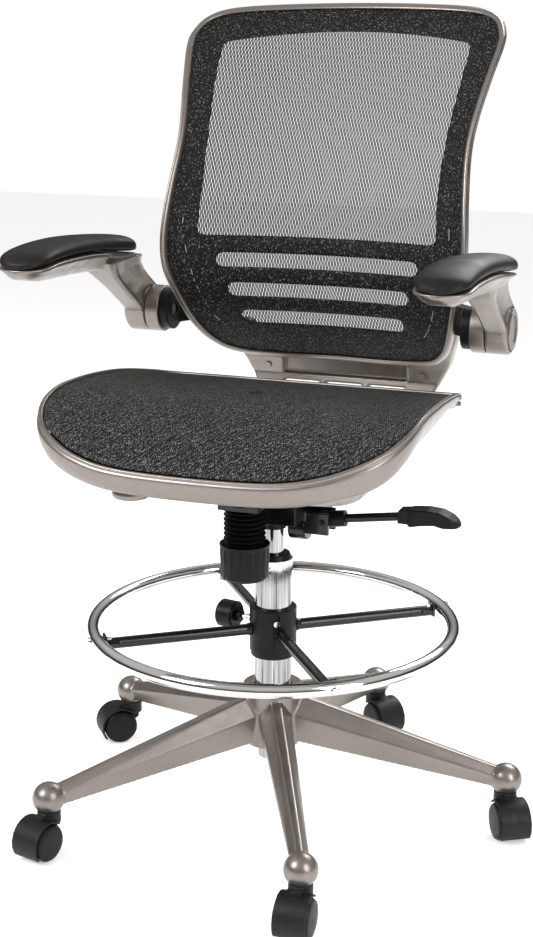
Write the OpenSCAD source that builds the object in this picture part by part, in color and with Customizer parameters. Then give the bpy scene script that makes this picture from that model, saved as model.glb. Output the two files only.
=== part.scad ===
// Drafting chair: five-leg base on casters, height-adjustable foot ring, gas lift,
// tilting mesh seat with a curved mesh back, and flip-up arms.
// Millimetres, +Z up. The origin is on the floor under the column; the chair faces -Y
// and +X is the sitter's left.

/* [Base] */
// Distance from the column axis to the centre of each leg-end ball
leg_reach = 322.5; // [300:1:345]
// Angle of the first leg, measured from +X
leg_turn = 8.2; // [0:0.1:72]
// Radius of the ball at the end of a leg
ball_r = 21.7; // [19:0.1:22.5]
// Caster wheel diameter
wheel_d = 50; // [48:1:52]

/* [Column] */
// Outer diameter of the fixed column tube
tube_d = 50; // [49:0.5:51]
// Diameter of the moving gas cylinder
cylinder_d = 28; // [27:0.5:29]

/* [Foot ring] */
// Height of the middle of the foot ring above the floor
ring_z = 274; // [262:1:286]
// Radius of the foot ring to the middle of its tube
ring_r = 244; // [225:1:255]
// Diameter of the foot ring's tube
ring_tube_d = 18.5; // [16:0.5:22]

/* [Seat] */
// Half width of the seat rim at its widest
seat_half_w = 244; // [237:1:251]
// Front edge of the seat rim, ahead of the column
seat_front = 296; // [286:1:306]
// Rear edge of the seat rim, behind the column
seat_rear = 145; // [140:1:150]
// Height of the highest stretch of the rim, at the sides
seat_top_z = 615; // [612:1:620]

/* [Back] */
// Height of the most forward point of the back
lumbar_z = 739; // [725:1:752]
// Distance of that point behind the column
lumbar_y = 180; // [176:1:186]
// Radius of the back's wrap around the sitter, at that height
wrap_r = 520; // [480:5:600]
// Top of the back above the floor
back_top_z = 1092; // [1080:1:1105]

/* [Arms] */
// Half distance between the middles of the two arm pads
arm_x = 266; // [265:1:270]
// Width of an arm pad
pad_w = 73; // [64:1:76]

/* [Hidden] */
$fn = 96;
fit = 0.05;
gap = 0.3;
leg_count = 5;

// Colours of the finished pieces.
silver = [0.61, 0.57, 0.54];
chrome = [0.86, 0.86, 0.88];
steel = [0.72, 0.72, 0.74];
black = [0.07, 0.07, 0.075];
mesh_black = [0.05, 0.05, 0.055];
pad_black = [0.09, 0.085, 0.08];

// Base.
ball_z = 76;
ball_flat_z = ball_z - 15;
hub_bottom_z = 103;
hub_top_z = 187;
hub_r_top = 41;
hub_r_bottom = 38.5;
leg_root_r = 24;
leg_root_top_z = 178;
leg_root_bottom_z = 111;
leg_tip_top_z = 93;
leg_tip_bottom_z = 66;
leg_root_w = 45;
leg_tip_w = 25;
ridge_share = 0.3;
channel_w = 12;
crease_share = 0.62;

// Column.
tube_r = tube_d / 2;
tube_bore_r = tube_r - 2;
tube_tail_r = 20;
tube_tail_z = 81;
tube_top_z = 368;
stop_ring_z = 351;
bush_top_z = 375;
bush_bottom_z = 314;
rod_r = 5;
rod_end_z = 67;
clip_z = tube_tail_z - 2.2;
cylinder_r = cylinder_d / 2;
cylinder_bore_r = cylinder_r - 2.5;
cylinder_bottom_z = 154;
cylinder_top_z = 459;
piston_z = 403;
bearing_z = 86;
bearing_h = 8;
valve_r = 3;
valve_top_z = 465;
dust_ring_z = 410;

// Foot ring.
collar_r = 32;
collar_bottom_z = 230;
collar_top_z = 300;
spoke_count = 4;
spoke_turn = 37.5;
spoke_r = 7.6;
spoke_z = ring_z - 6;
ring_inner_r = ring_r - ring_tube_d / 2;
ring_outer_r = ring_r + ring_tube_d / 2;
collar_screw_turn = -62;
collar_screw_z = ring_z + 9;
clamp_turn = 170;
clamp_reach = 70;
clamp_z = ring_z;
clamp_screw_r = 3;
clamp_knob_r = 19;

// Casters.
wheel_r = wheel_d / 2;
wheel_w = 15;
wheel_gap = 7;
caster_trail = 22;
caster_heads = [-58, -39, -140, -104, -88];
hood_inner_r = wheel_r + 1.5;
hood_outer_r = wheel_r + 4.5;
neck_r = 15.5;
neck_bottom_z = 42;
stem_r = 5.5;
axle_r = 4;

// Mechanism.
box_half_w = 46;
box_bottom_z = 426.5;
box_top_z = 475;
tilt_y = 30;
tilt_z = 461;
tilt_pin_r = 6;
knob_y = -108;
knob_top_z = 419;
knob_bottom_z = 372;
boot_top_z = 467;
boot_bottom_z = 398;
boot_r = 27.5;
boot_ribs = 11;
bolt_r = 5;
lever_y = 10;
lever_z = 425.5;
lever_slope = 8;
lever_pivot_x = 70;
lever_rod_r = 5.8;

// Seat.
plate_z = 483;
plate_t = 5.5;
plate_half_w = 122;
rim_w = 7;
pan_boss_x = -122;
pan_boss_y = -186;
rim_drop_front = 64;
rim_drop_rear = 34;
rim_crest_y = -130;

// Back.
back_bottom_z = 587;
lean_up = 0.00141;
lean_down = 0.0042;
wrap_axis_y = lumbar_y - wrap_r;
frame_w = 9;
frame_front = 8;
frame_rear = 16;

// Arms.
arm_pivot_y = 165;
arm_pivot_z = 667;
arm_drum_r = 33;
arm_shaft_r = 9;
bracket_out_x = 226;
bracket_in_x = 168;
spacer_in_x = bracket_out_x;
spacer_out_x = 245.5;
arm_in_x = spacer_out_x + 0.5;
arm_out_x = 278;
cap_t = 4.5;

// ---- Helpers ----

// A smooth closed outline through the given points.
function through(p, steps) = [
    for (i = [0 : len(p) - 1], s = [0 : steps - 1])
        let (
            n = len(p),
            a = p[(i + n - 1) % n],
            b = p[i],
            c = p[(i + 1) % n],
            d = p[(i + 2) % n],
            t = s / steps
        )
        0.5 * (2 * b + (c - a) * t + (2 * a - 5 * b + 4 * c - d) * t * t
            + (3 * b - a - 3 * c + d) * t * t * t)
];

// The right half of an outline, then its mirror image in reverse order.
function both_sides(half) = concat(
    half,
    [for (i = [len(half) - 1 : -1 : 0]) if (half[i][0] > 0.01) [-half[i][0], half[i][1]]]
);

// Extrude a YZ drawing along X, centred on x.
module along_x(x, width) {
    translate([x - width / 2, 0, 0])
        rotate([90, 0, 90])
            linear_extrude(width)
                children();
}

// Extrude an XZ drawing along +Y from y0 to y1.
module along_y(y0, y1) {
    translate([0, y1, 0])
        rotate([90, 0, 0])
            linear_extrude(y1 - y0)
                children();
}

module tube(outer_r, inner_r, z0, z1) {
    translate([0, 0, z0])
        difference() {
            cylinder(r = outer_r, h = z1 - z0);
            translate([0, 0, -1])
                cylinder(r = inner_r, h = z1 - z0 + 2);
        }
}

module disc(r, z0, z1) {
    translate([0, 0, z0])
        cylinder(r = r, h = z1 - z0);
}

// A cylinder along X from x0 to x1 through (y, z).
module bar_x(r, x0, x1, y, z) {
    translate([x0, y, z])
        rotate([0, 90, 0])
            cylinder(r = r, h = x1 - x0);
}

// A cylinder pointing away from the column axis at the given angle and height.
module radial(angle, r, r0, r1, z) {
    rotate([0, 0, angle])
        bar_x(r, r0, r1, 0, z);
}

// ---- Base ----

module leg_section(width, z0, z1) {
    crease = z0 + (z1 - z0) * crease_share;
    rotate([90, 0, 90])
        linear_extrude(0.1)
            polygon([
                [-width * 0.36, z0], [width * 0.36, z0],
                [width * 0.5, crease], [width * ridge_share / 2, z1],
                [-width * ridge_share / 2, z1], [-width * 0.5, crease]
            ]);
}

module leg() {
    hull() {
        translate([leg_root_r, 0, 0])
            leg_section(leg_root_w, leg_root_bottom_z, leg_root_top_z);
        translate([leg_reach - 12, 0, 0])
            leg_section(leg_tip_w, leg_tip_bottom_z, leg_tip_top_z);
    }
}

// The hollow that opens along the underside of a leg.
module leg_channel() {
    wall = 7;
    along_y(-channel_w / 2, channel_w / 2)
        polygon([
            [hub_r_top + 9, leg_root_bottom_z - 20], [leg_reach - ball_r - 14, leg_tip_bottom_z - 20],
            [leg_reach - ball_r - 14, leg_tip_top_z - wall], [hub_r_top + 9, leg_root_top_z - wall - 9]
        ]);
}

module leg_end() {
    translate([leg_reach, 0, ball_z])
        difference() {
            sphere(r = ball_r);
            translate([0, 0, -ball_r - 15])
                cylinder(r = ball_r, h = ball_r);
        }
}

module star_base() {
    color(silver)
        difference() {
            union() {
                disc_cone();
                for (i = [0 : leg_count - 1])
                    rotate([0, 0, leg_turn + i * 360 / leg_count]) {
                        leg();
                        leg_end();
                    }
            }
            tube_outside(fit);
            for (i = [0 : leg_count - 1])
                rotate([0, 0, leg_turn + i * 360 / leg_count]) {
                    leg_channel();
                    translate([leg_reach, 0, ball_flat_z - 1])
                        cylinder(r = stem_r + fit, h = 26);
                }
        }
}

module disc_cone() {
    translate([0, 0, hub_bottom_z])
        cylinder(r1 = hub_r_bottom, r2 = hub_r_top, h = hub_top_z - hub_bottom_z);
}

// ---- Column ----

// The outside of the column tube, grown by the clearance.
module tube_outside(clearance) {
    rotate_extrude()
        polygon([
            [0, tube_tail_z], [tube_tail_r + clearance, tube_tail_z],
            [tube_tail_r + clearance, hub_bottom_z + 6], [tube_r + clearance, hub_top_z - 4],
            [tube_r + clearance, tube_top_z], [0, tube_top_z]
        ]);
}

module outer_tube() {
    color(chrome)
        difference() {
            tube_outside(0);
            disc(tube_bore_r, hub_top_z + 6, tube_top_z + 1);
            disc(tube_tail_r - 2, bearing_z, hub_top_z + 7);
            disc(rod_r + 0.5, tube_tail_z - 1, bearing_z + 1);
        }
}

module tube_stop_ring() {
    dimples = 8;
    color(chrome)
        difference() {
            tube(tube_r + 1.2, tube_r + 0.02, stop_ring_z, tube_top_z - gap);
            for (i = [0 : dimples - 1])
                rotate([0, 0, leg_turn + i * 360 / dimples])
                    translate([tube_r + 3, 0, stop_ring_z + 9])
                        sphere(r = 2.6);
        }
}

module guide_bushing() {
    color(black)
        difference() {
            union() {
                disc(tube_bore_r - 0.02, bush_bottom_z, tube_top_z + 0.2);
                translate([0, 0, tube_top_z])
                    cylinder(r1 = tube_r - 0.4, r2 = tube_r - 3, h = bush_top_z - tube_top_z);
            }
            disc(cylinder_r + fit, bush_bottom_z - 1, bush_top_z + 1);
        }
}

module thrust_bearing() {
    color(steel)
        tube(tube_tail_r - 4, rod_r + 0.2, bearing_z, bearing_z + bearing_h);
}

module piston_rod() {
    shoulder_z = bearing_z + bearing_h;
    color(steel)
        union() {
            difference() {
                disc(rod_r, rod_end_z, piston_z + 1);
                tube(rod_r + 1, rod_r - 1, clip_z, clip_z + 2);
            }
            disc(rod_r + 5, shoulder_z, shoulder_z + 4);
            disc(cylinder_bore_r - fit, piston_z, piston_z + 10);
        }
}

module rod_clip() {
    color(steel)
        difference() {
            tube(rod_r + 4, rod_r - 1, clip_z, clip_z + 2);
            translate([0, -2.5, clip_z - 1])
                cube([rod_r + 6, 5, 4]);
        }
}

module gas_cylinder() {
    color(chrome)
        difference() {
            disc(cylinder_r, cylinder_bottom_z, cylinder_top_z);
            disc(cylinder_bore_r, cylinder_bottom_z + 15, cylinder_top_z - 18);
            disc(rod_r + fit, cylinder_bottom_z - 1, cylinder_bottom_z + 16);
            disc(valve_r + fit, cylinder_top_z - 19, cylinder_top_z + 1);
        }
}

module dust_ring() {
    color(black)
        tube(cylinder_r + 3, cylinder_r + 0.02, dust_ring_z, box_bottom_z - gap);
}

module valve_pin() {
    color(steel)
        disc(valve_r, cylinder_top_z - 14, valve_top_z);
}

// ---- Foot ring ----

module foot_ring() {
    wall = 1.5;
    color(chrome)
        difference() {
            translate([0, 0, ring_z])
                rotate_extrude()
                    translate([ring_r, 0])
                        difference() {
                            circle(d = ring_tube_d, $fn = 48);
                            circle(d = ring_tube_d - 2 * wall, $fn = 48);
                        }
            for (i = [0 : spoke_count - 1])
                radial(spoke_turn + i * 360 / spoke_count, 3.05, ring_inner_r - 2, ring_outer_r + 2, ring_z);
        }
}

module ring_spokes() {
    tab_t = 3.5;
    tab_in = ring_inner_r - tab_t - gap;
    color(black)
        for (i = [0 : spoke_count - 1])
            rotate([0, 0, spoke_turn + i * 360 / spoke_count])
                difference() {
                    union() {
                        bar_x(spoke_r, collar_r + gap, tab_in + 1, 0, spoke_z);
                        translate([tab_in, -10, spoke_z - 7])
                            cube([tab_t, 20, 20]);
                        translate([tab_in - 16, -10, spoke_z - 3.5])
                            cube([17, 20, 6]);
                        translate([collar_r + gap, 0, spoke_z])
                            rotate([0, 90, 0])
                                cylinder(r1 = spoke_r + 1.5, r2 = spoke_r, h = 6);
                    }
                    bar_x(3.05, tab_in - 8, tab_in + tab_t + 1, 0, ring_z);
                }
}

module ring_collar() {
    color(black)
        difference() {
            union() {
                disc(collar_r - 1.5, collar_bottom_z, collar_top_z);
                disc(collar_r, collar_bottom_z + 7, collar_top_z - 1.5);
            }
            disc(tube_r + 0.06, collar_bottom_z - 1, collar_top_z + 1);
            radial(clamp_turn, clamp_screw_r + fit, tube_r - 2, collar_r + 2, clamp_z);
            radial(collar_screw_turn, 3.05, tube_r - 2, collar_r + 2, collar_screw_z);
        }
}

module spoke_bolts() {
    color(chrome)
        for (i = [0 : spoke_count - 1]) {
            angle = spoke_turn + i * 360 / spoke_count;
            radial(angle, 3, ring_inner_r - 10, ring_outer_r + 1, ring_z);
            rotate([0, 0, angle])
                translate([ring_outer_r + 0.2, 0, ring_z])
                    rotate([0, 90, 0])
                        cylinder(r1 = 5.5, r2 = 4, h = 3);
        }
}

module collar_screw() {
    color(chrome)
        union() {
            radial(collar_screw_turn, 3, tube_r + 1, collar_r + 1, collar_screw_z);
            radial(collar_screw_turn, 4, collar_r + gap, collar_r + 3, collar_screw_z);
        }
}

module clamp_screw() {
    color(chrome)
        union() {
            radial(clamp_turn, clamp_screw_r, tube_r + 0.5, clamp_reach, clamp_z);
            radial(clamp_turn, 5, collar_r + 3, collar_r + 9, clamp_z);
        }
}

module clamp_knob() {
    color(black)
        difference() {
            union() {
                radial(clamp_turn, clamp_knob_r, clamp_reach - 11, clamp_reach + 11, clamp_z);
                radial(clamp_turn, clamp_knob_r - 2, clamp_reach - 13, clamp_reach + 13, clamp_z);
                radial(clamp_turn, 8, clamp_reach - 20, clamp_reach - 11, clamp_z);
            }
            radial(clamp_turn, clamp_screw_r, clamp_reach - 30, clamp_reach, clamp_z);
        }
}

// ---- Casters ----

// Put a caster, drawn with its stem on the Z axis and heading along +X, under leg k.
module at_caster(k) {
    angle = leg_turn + (k - 1) * 360 / leg_count;
    translate([leg_reach * cos(angle), leg_reach * sin(angle), 0])
        rotate([0, 0, caster_heads[k - 1]])
            children();
}

// Extrude an XZ drawing across the wheels.
module across(width) {
    translate([0, width / 2, 0])
        rotate([90, 0, 0])
            linear_extrude(width)
                children();
}

// The round space that the wheels turn in.
module wheel_space() {
    across(60)
        translate([caster_trail, wheel_r])
            circle(r = hood_inner_r);
}

// The shell over the wheels and the neck beside them.
module hood_shell() {
    difference() {
        union() {
            across(2 * (wheel_gap + wheel_w) - 2)
                difference() {
                    translate([caster_trail, wheel_r])
                        circle(r = hood_outer_r);
                    translate([caster_trail - 60, -30])
                        square([120, 38]);
                    translate([-30, -5])
                        square([38, 50]);
                }
            disc(neck_r, neck_bottom_z, ball_flat_z - gap);
        }
        wheel_space();
    }
}

module caster_hood(k) {
    color(black)
        at_caster(k)
            difference() {
                union() {
                    hood_shell();
                    across(2 * wheel_gap - 1)
                        union() {
                            translate([caster_trail, wheel_r])
                                circle(r = 12);
                            polygon([
                                [-neck_r + 4, 60], [-neck_r + 6, 34], [caster_trail - 8, 15],
                                [caster_trail + 12, 26], [caster_trail + 6, 52], [neck_r - 2, 60]
                            ]);
                        }
                }
                disc(stem_r, 38, ball_flat_z + 1);
                across(60)
                    translate([caster_trail, wheel_r])
                        circle(r = axle_r);
            }
}

module caster_pins(k) {
    color(steel)
        at_caster(k) {
            disc(stem_r, 42, ball_flat_z + 22);
            across(2 * (wheel_gap + wheel_w) - 6)
                translate([caster_trail, wheel_r])
                    circle(r = axle_r);
        }
}

module wheel(side) {
    inner = wheel_gap;
    translate([caster_trail, 0, wheel_r])
        rotate([-90 * side, 0, 0])
            rotate_extrude()
                polygon([
                    [axle_r + fit, inner], [wheel_r - 2, inner], [wheel_r, inner + 2],
                    [wheel_r, inner + wheel_w - 3], [wheel_r - 2, inner + wheel_w],
                    [wheel_r - 6, inner + wheel_w + 1.2], [0, inner + wheel_w + 2],
                    [0, inner + wheel_w - 2.5], [axle_r + fit, inner + wheel_w - 2.5]
                ]);
}

module caster_wheels(k) {
    color(black)
        at_caster(k) {
            wheel(1);
            wheel(-1);
        }
}

// ---- Mechanism ----

module mechanism_housing() {
    color(black)
        difference() {
            union() {
                translate([-box_half_w, -45, box_bottom_z])
                    cube([2 * box_half_w, 65, box_top_z - box_bottom_z]);
                translate([-box_half_w, 19, box_bottom_z])
                    cube([2 * box_half_w, 43, 29]);
                bar_x(12, -box_half_w, box_half_w, tilt_y, tilt_z);
                translate([-27, -134, boot_top_z])
                    cube([54, 90, box_top_z - boot_top_z]);
                bar_x(20, 22, box_half_w, 12, 414);
                for (side = [-1, 1])
                    translate([box_half_w - 1, lever_y + side * 15 - 3, lever_z - 18])
                        cube([lever_pivot_x - box_half_w + 10, 6, 30]);
                translate([0, knob_y, boot_top_z])
                    cylinder(r = boot_r + 0.5, h = box_top_z - boot_top_z);
            }
            disc(cylinder_r, box_bottom_z - 30, cylinder_top_z);
            disc(20, cylinder_top_z, cylinder_top_z + 10);
            bar_x(tilt_pin_r, -60, 60, tilt_y, tilt_z);
            lever_trunnions(3.05);
            translate([0, knob_y, boot_top_z - 1])
                cylinder(r = bolt_r, h = 5);
            housing_hollows();
        }
}

// The space inside the case, on each side of the column socket.
module housing_hollows() {
    for (side = [-1, 1])
        translate([side * 31 - 10, -40, box_bottom_z - 1])
            cube([20, 45, box_top_z - box_bottom_z - 4]);
}

module tension_bolt() {
    color(steel)
        translate([0, knob_y, 0])
            disc(bolt_r, knob_bottom_z + 13, boot_top_z + 3.8);
}

// Closed rings stand in for the coils of the spring.
module tension_spring() {
    coils = 9;
    pitch = (boot_top_z - boot_bottom_z - 1) / coils;
    color(steel)
        translate([0, knob_y, boot_bottom_z + 0.5])
            rotate_extrude()
                polygon(concat(
                    [for (i = [0 : coils]) each [[13.2, i * pitch], [15.5, min(i + 0.5, coils) * pitch]]],
                    [for (i = [coils : -1 : 0]) each [[13, min(i + 0.5, coils) * pitch], [10.8, i * pitch]]]
                ));
}

module tension_boot() {
    pitch = (boot_top_z - boot_bottom_z - gap) / boot_ribs;
    valley = boot_r - 6.5;
    wall = 1.6;
    color(black)
        translate([0, knob_y, boot_bottom_z])
            rotate_extrude()
                polygon(concat(
                    [for (i = [0 : boot_ribs - 1]) each [[valley, i * pitch], [boot_r, (i + 0.5) * pitch]]],
                    [[valley, boot_ribs * pitch], [valley - wall, boot_ribs * pitch]],
                    [for (i = [boot_ribs - 1 : -1 : 0])
                        each [[boot_r - wall, (i + 0.5) * pitch], [valley - wall, i * pitch]]]
                ));
}

module spring_washer() {
    color(steel)
        translate([0, knob_y, 0])
            tube(boot_r - 0.5, bolt_r + fit, boot_bottom_z - 3, boot_bottom_z);
}

module tension_knob() {
    flutes = 18;
    flute_r = 3.2;
    cup_r = 32.5;
    foot_r = 30.5;
    floor_z = boot_bottom_z - 3.5;
    color(black)
        translate([0, knob_y, 0])
            difference() {
                union() {
                    translate([0, 0, knob_bottom_z + 4])
                        cylinder(r1 = foot_r, r2 = cup_r, h = knob_top_z - knob_bottom_z - 4);
                    translate([0, 0, knob_bottom_z])
                        cylinder(r1 = foot_r - 4, r2 = foot_r, h = 4.01);
                }
                disc(boot_r + 1, floor_z, knob_top_z + 1);
                disc(bolt_r + fit, knob_bottom_z + 3.5, floor_z + 1);
                for (i = [0 : flutes - 1])
                    rotate([0, 0, i * 360 / flutes])
                        translate([cup_r + 1, 0, knob_bottom_z + 6])
                            cylinder(r = flute_r, h = knob_top_z - knob_bottom_z - 11);
            }
}

// The two stub pins that the lever's socket rocks on.
module lever_trunnions(r) {
    for (side = [-1, 1])
        translate([lever_pivot_x, lever_y + side * 14.4 + 5, lever_z])
            rotate([90, 0, 0])
                cylinder(r = r, h = 10);
}

// A cylinder on the lever's own axis, between two distances out from its pivot.
module lever_bar(r, from, to) {
    translate([lever_pivot_x, lever_y, lever_z])
        rotate([0, -lever_slope, 0])
            bar_x(r, from, to, 0, 0);
}

module lever_socket() {
    color(black)
        difference() {
            union() {
                lever_bar(11, -8, 28);
                lever_trunnions(3);
            }
            lever_bar(lever_rod_r + fit, -9, 29);
        }
}

module lever_rod() {
    color(black)
        lever_bar(lever_rod_r, -8, 109);
}

module lever_paddle() {
    root_x = 171;
    tip_x = 254;
    half_w = 14;
    neck_half_w = 10;
    middle_z = lever_z + (root_x - lever_pivot_x) * tan(lever_slope);
    color(black)
        difference() {
            intersection() {
                along_y(lever_y - 15, lever_y + 15)
                    translate([0, middle_z])
                        polygon([
                            [root_x, -7.5], [root_x, 9], [173, 11.5], [190, 13.5], [210, 15],
                            [228, 13.5], [240, 8.5], [249, 2.5], [tip_x, -3], [253.5, -5.5],
                            [248, -6.5], [232, -7], [220, -4.5], [200, -7], [186, -10.5],
                            [184.5, -7.5]
                        ]);
                linear_extrude(600)
                    union() {
                        translate([root_x, lever_y - neck_half_w])
                            square([20, 2 * neck_half_w]);
                        translate([root_x + half_w + 10, lever_y])
                            circle(r = half_w);
                        translate([root_x + half_w + 10, lever_y - half_w])
                            square([tip_x - root_x - 2 * half_w - 10, 2 * half_w]);
                        translate([tip_x - half_w, lever_y])
                            circle(r = half_w);
                    }
            }
            lever_bar(lever_rod_r, 70, 109);
        }
}

// ---- Seat ----

// Height of the rim's upper edge at a given Y: it dips at the front and at the rear.
function rim_top(y) = y < rim_crest_y
    ? seat_top_z - rim_drop_front * pow((rim_crest_y - y) / (seat_front + rim_crest_y), 2)
    : seat_top_z - rim_drop_rear * pow((y - rim_crest_y) / (seat_rear - rim_crest_y), 2);

// Depth of the rim's band: deepest at the front corners, slim behind.
function rim_depth(y) = lookup(y, [
    [-seat_front, 31], [-231, 42], [-130, 27], [0, 22], [seat_rear, 20]
]);

// Outline of the seat from above, pulled in by the inset.
function seat_outline(inset) =
    let (w = seat_half_w - inset, f = seat_front - inset, r = seat_rear - inset)
    both_sides(seat_half(w, f, r));

function seat_half(w, f, r) = [
    [0, -f], [w * 0.41, -f + 3], [w * 0.64, -f + 15], [w * 0.8, -f + 34], [w * 0.91, -f + 57],
    [w * 0.975, -f + 88], [w, -f + 126], [w, -f + 200], [w * 0.98, -f + 290],
    [w * 0.94, r - 60], [w * 0.9, r - 12], [w * 0.86, r - 2], [w * 0.6, r]
];

module seat_shape(inset) {
    linear_extrude(900)
        polygon(through(seat_outline(inset), 4));
}

// The band between two heights measured down from the rim's upper edge.
module seat_band(down_top, down_bottom) {
    step = 14;
    ys = [for (y = [-seat_front - 4 : step : seat_rear + 4 + step]) y];
    along_x(0, 2 * seat_half_w + 20)
        polygon(concat(
            [for (y = ys) [y, rim_top(y) - down_top]],
            [for (i = [len(ys) - 1 : -1 : 0]) [ys[i], rim_top(ys[i]) - down_bottom]]
        ));
}

module rim_band() {
    step = 14;
    ys = [for (y = [-seat_front - 4 : step : seat_rear + 4 + step]) y];
    along_x(0, 2 * seat_half_w + 20)
        polygon(concat(
            [for (y = ys) [y, rim_top(y)]],
            [for (i = [len(ys) - 1 : -1 : 0]) [ys[i], rim_top(ys[i]) - rim_depth(ys[i])]]
        ));
}

// Everything below the rim's lower edge.
module under_rim() {
    step = 14;
    ys = [for (y = [-seat_front - 4 : step : seat_rear + 4 + step]) y];
    along_x(0, 2 * seat_half_w + 20)
        polygon(concat(
            [for (y = ys) [y, rim_top(y) - rim_depth(y) - gap]],
            [[seat_rear + 20, plate_z - 20], [-seat_front - 20, plate_z - 20]]
        ));
}

module seat_rim() {
    color(silver)
        difference() {
            intersection() {
                seat_shape(0);
                rim_band();
            }
            seat_shape(rim_w);
            rivets(3.05);
        }
}

// The two rivets on each side, near the rim's rear end.
module rivets(r) {
    y = seat_rear - 62;
    middle_x = seat_half_w * 0.94 - 2;
    for (side = [-1, 1])
        for (down = [6, 15])
            bar_x(r, side * middle_x - 3, side * middle_x + 3, y, rim_top(y) - down);
}

module seat_mesh() {
    color(mesh_black)
        intersection() {
            seat_shape(rim_w + gap);
            seat_band(5, 9);
        }
}

module pan_block(half_w, front, rear, z0, z1, r) {
    translate([0, 0, z0])
        linear_extrude(z1 - z0)
            union() {
                translate([-half_w + r, -front])
                    square([2 * (half_w - r), front + rear]);
                translate([-half_w, -front + r])
                    square([2 * half_w, front + rear - 2 * r]);
                for (x = [-1, 1])
                    for (y = [-front + r, rear - r])
                        translate([x * (half_w - r), y])
                            circle(r = r, $fn = 32);
            }
}

// A slice of the seat's outline at one height, for the pan's wall to rise to.
module pan_slice(inset, y0, y1, z) {
    translate([0, 0, z])
        linear_extrude(1)
            intersection() {
                polygon(through(seat_outline(inset), 1));
                translate([-300, y0])
                    square([600, y1 - y0]);
            }
}

// The hollowed block of the pan, grown or shrunk by the inset and lifted.
module pan_body(inset, lift) {
    hull() {
        pan_block(150 - inset, 150 - inset, 45 - inset, plate_z + plate_t + gap + lift,
            plate_z + plate_t + gap + lift + 0.5, 42);
        for (y = [-seat_front : 48 : seat_rear - 1])
            pan_slice(inset + 2, y, y + 48, rim_top(y + 24) - 14);
    }
}

// A dish under the seat whose wall rises to the rim, with a round boss under its right front corner.
module seat_pan() {
    color(silver)
        union() {
            intersection() {
                difference() {
                    pan_body(0, 0);
                    pan_body(3, 3);
                }
                under_rim();
            }
            translate([pan_boss_x, pan_boss_y, plate_z + plate_t + gap])
                cylinder(r = 24, h = 12, $fn = 48);
        }
}

module seat_plate() {
    color(black)
        difference() {
            union() {
                translate([-plate_half_w, -125, plate_z])
                    cube([2 * plate_half_w, 222, plate_t]);
                for (side = [-1, 1]) {
                    translate([side * 52 - 2, tilt_y - 16, tilt_z])
                        cube([4, 32, plate_z - tilt_z + 1]);
                    bar_x(16, side * 52 - 2, side * 52 + 2, tilt_y, tilt_z);
                }
            }
            bar_x(tilt_pin_r + fit, -60, 60, tilt_y, tilt_z);
        }
}

module pivot_pin() {
    color(steel)
        bar_x(tilt_pin_r, -56, 56, tilt_y, tilt_z);
}

module rim_rivets() {
    color(steel)
        rivets(3);
}

// ---- Back ----

function back_y(z) = lumbar_y
    + (z > lumbar_z ? lean_up : lean_down) * (z - lumbar_z) * (z - lumbar_z);

// Outline of the back from the front, pulled in by the inset.
function back_outline(inset) = both_sides([for (p = back_half()) [
    max(0, p[0] - inset),
    p[1] > lumbar_z ? p[1] - inset * top_share(p) : p[1] + inset * bottom_share(p)
]]);

// How far the inset moves a point down or up: fully at the ends, not at the sides.
function top_share(p) = min(1, max(0, (p[1] - back_top_z + 70) / 50));
function bottom_share(p) = min(1, max(0, (back_bottom_z + 92 - p[1]) / 80));

function back_half() = [
    [0, back_top_z], [110, back_top_z - 2], [180, back_top_z - 7], [212, back_top_z - 18],
    [226, back_top_z - 37], [229, back_top_z - 58], [221, 989], [212, 934], [210, 894],
    [214, 839], [219, 774], [216, 731], [204, 689], [191, 644], [174, 613], [145, 594],
    [80, back_bottom_z], [0, back_bottom_z]
];

module back_shape(inset) {
    along_y(-100, 700)
        polygon(through(back_outline(inset), 3));
}

// The curved sheet of the back between two offsets from its middle surface.
module back_shell(front, rear, z0, z1) {
    step = 22;
    steps = ceil((z1 - z0) / step);
    zs = [for (i = [0 : steps]) z0 + (z1 - z0) * i / steps];
    translate([0, wrap_axis_y, 0])
        rotate([0, 0, 60])
            rotate_extrude(angle = 60)
                polygon(concat(
                    [for (z = zs) [back_y(z) - wrap_axis_y + rear, z]],
                    [for (i = [steps : -1 : 0]) [back_y(zs[i]) - wrap_axis_y - front, zs[i]]]
                ));
}

module back_frame() {
    color(silver)
        difference() {
            intersection() {
                back_shell(frame_front, frame_rear, back_bottom_z - 8, back_top_z + 8);
                back_shape(0);
            }
            back_shape(frame_w);
        }
}

module back_mesh() {
    color(mesh_black)
        intersection() {
            back_shell(3, 0, back_bottom_z - 8, back_top_z + 8);
            back_shape(frame_w + gap);
        }
}

// Side profile of the casting: flat behind the back, then a bend forward under the seat.
function support_side() = [
    [242, 645], [266, 614], [290, 594], [301, 578], [305, 556], [299, 538], [270, 517],
    [210, 497], [120, plate_z], [30, plate_z], [30, plate_z - 11], [124, plate_z - 11],
    [214, 484], [278, 501], [311, 528], [320, 562], [315, 591], [281, 626], [262, 645]
];

module back_support() {
    recess_y = 311;
    color(silver)
        difference() {
            intersection() {
                along_x(0, 380)
                    polygon(support_side());
                union() {
                    along_y(0, 400)
                        polygon([
                            [-186, 645], [-160, 585], [-136, 540], [-136, 534],
                            [136, 534], [136, 540], [160, 585], [186, 645],
                            [128, 645], [108, 593], [-108, 593], [-128, 645]
                        ]);
                    for (side = [-1, 1])
                        translate([side * 78 - 20, 20, plate_z - 20])
                            cube([40, 360, 80]);
                }
            }
            for (x = [-1, 0, 1])
                along_y(0, 400)
                    translate([x * 66 - 28, 535])
                        square([56, 12]);
            along_y(270, recess_y)
                translate([-96, 557])
                    square([192, 28]);
            for (side = [-1, 1])
                at_support_screw(side)
                    translate([0, 0, -14])
                        cylinder(r = 3.05, h = 20);
        }
}

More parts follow.
